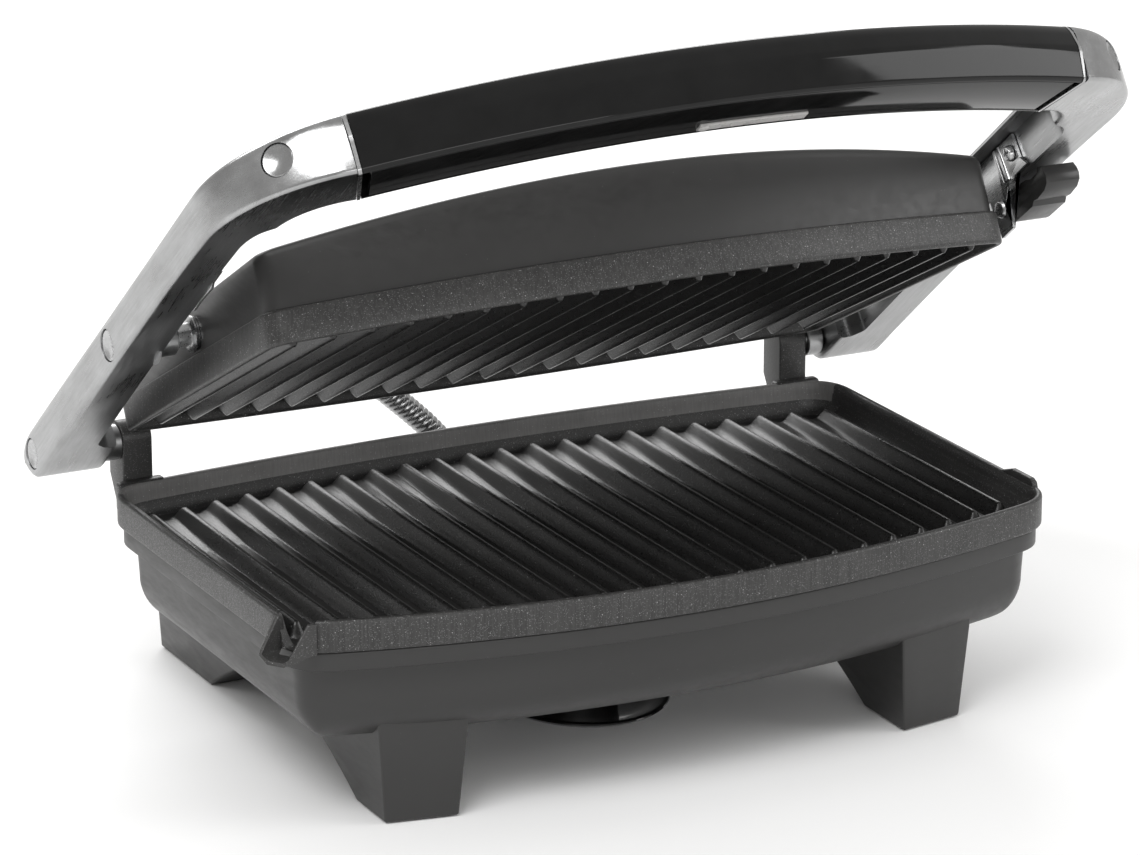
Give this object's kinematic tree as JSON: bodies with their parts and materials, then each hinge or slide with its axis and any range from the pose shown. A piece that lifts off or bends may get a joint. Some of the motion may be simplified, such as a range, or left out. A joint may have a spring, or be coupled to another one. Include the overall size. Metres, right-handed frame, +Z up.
{
  "type": "contact grill press",
  "caption": "Ribbed contact grill with a bowed grip on two cast arms, a floating ribbed upper plate, a grease spout at the front left corner, leg rails and a cord wrap.",
  "frame": {"origin": "middle of the footprint of the whole press, on the floor, with the lid as pictured", "axes": "+Z up, -Y towards the user and the grip, +X to the user's right"},
  "size_m": [0.33, 0.2364, 0.2555],
  "materials": {
    "housing_plastic": "satin, fine moulded grain",
    "speckled_coat": "dark grey non-stick coat with fine pale speckle",
    "cast_alloy": "satin brushed cast alloy, polished near the grip",
    "bright_steel": "bright drawn steel",
    "sheet_metal": "plain rolled sheet",
    "grip_gloss": "gloss black",
    "inlay": "pale blue grey",
    "foot_rubber": "dull black",
    "latch_plastic": "dull charcoal",
    "lens_red": "clear red",
    "lens_green": "clear green"
  },
  "bodies": {
    "base": {"conduit": "bright_steel", "conduit_gland_lower": "bright_steel", "cord_inlet": "foot_rubber", "foot_pad_front_left": "foot_rubber", "foot_pad_front_right": "foot_rubber", "foot_pad_rear_left": "foot_rubber", "foot_pad_rear_right": "foot_rubber", "hinge_pin_left": "bright_steel", "hinge_pin_right": "bright_steel", "lower_element": "bright_steel", "lower_housing": "housing_plastic", "lower_plate": "speckled_coat", "lower_reflector": "sheet_metal", "lower_thermostat": "latch_plastic", "terminal_block": "latch_plastic", "thermal_fuse": "bright_steel", "wrap_disc": "grip_gloss", "wrap_disc_screw": "bright_steel"},
    "lid_frame": {"arm_cover_left": "sheet_metal", "arm_cover_right": "sheet_metal", "arm_left": "cast_alloy", "arm_right": "cast_alloy", "cover_screw_left": "bright_steel", "cover_screw_right": "bright_steel", "grip_base": "grip_gloss", "grip_cap_left": "cast_alloy", "grip_cap_right": "cast_alloy", "grip_collar_left": "bright_steel", "grip_collar_right": "bright_steel", "grip_inlay": "inlay", "grip_shell": "grip_gloss", "grip_tie_bar": "sheet_metal", "hinge_bush_left": "cast_alloy", "hinge_bush_right": "cast_alloy", "hinge_cap_left": "bright_steel", "hinge_cap_right": "bright_steel", "latch_pin": "bright_steel", "pivot_cap_left": "bright_steel", "pivot_cap_right": "bright_steel", "pivot_pin_left": "bright_steel", "pivot_pin_right": "bright_steel"},
    "head": {"upper_plate": "speckled_coat", "upper_housing": "housing_plastic", "upper_element": "bright_steel", "upper_reflector": "sheet_metal", "upper_thermostat": "latch_plastic", "power_lens": "lens_red", "ready_lens": "lens_green", "conduit_gland_upper": "bright_steel"},
    "latch": {"latch_lever": "latch_plastic"}
  },
  "joints": [
    {"name": "lid_hinge", "type": "hinge", "parent": "base", "child": "lid_frame", "pos_m": [0, 0.08919, 0.0885], "axis": [-1, 0, 0], "range_deg": [-39.2, 50], "deforming": ["conduit"]},
    {"name": "head_tilt", "type": "hinge", "parent": "lid_frame", "child": "head", "pos_m": [0, 0.01729, 0.146], "axis": [-1, 0, 0], "range_deg": [-15.6, 12.3], "deforming": ["conduit"]},
    {"name": "latch_swing", "type": "hinge", "parent": "lid_frame", "child": "latch", "pos_m": [0, -0.02451, 0.16329], "axis": [1, 0, 0], "range_deg": [0, 60]}
  ],
  "couplings": [
    {"joint": "head_tilt", "follows": "lid_hinge", "ratio": -0.3112}
  ]
}
